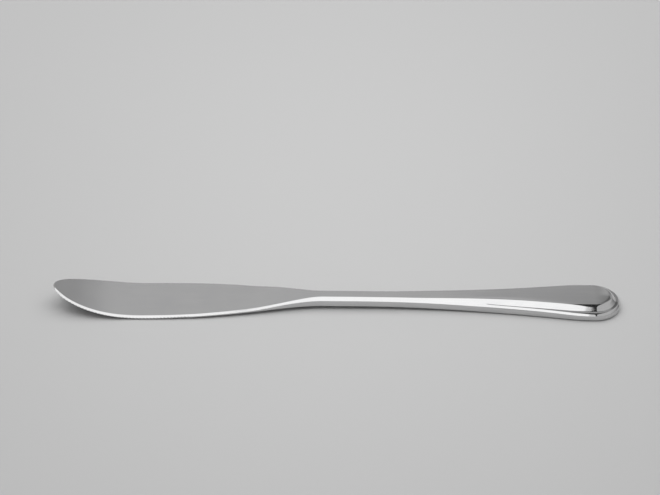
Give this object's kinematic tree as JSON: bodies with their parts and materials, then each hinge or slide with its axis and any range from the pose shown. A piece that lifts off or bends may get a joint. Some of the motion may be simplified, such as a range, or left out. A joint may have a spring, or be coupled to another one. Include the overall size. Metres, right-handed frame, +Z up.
{
  "type": "grapefruit knife",
  "caption": "All-steel table knife with a leaf-shaped, finely toothed blade whose tip curves up, a slim neck and a flaring handle with a rim and a raised panel.",
  "frame": {"origin": "middle of the knife's length and width, on the table that it lies on", "axes": "+X from the blade tip to the end of the handle, -Y towards the cutting edge, +Z up from the table"},
  "size_m": [0.2, 0.021, 0.0074],
  "materials": {
    "blade_steel": "mirror polish on hardened stainless steel, with a ground bevel",
    "handle_steel": "mirror polish on stainless steel",
    "braze_alloy": "silver braze, hidden in the joint"
  },
  "bodies": {
    "root": {"blade": "blade_steel", "handle": "handle_steel", "braze": "braze_alloy"}
  },
  "joints": []
}
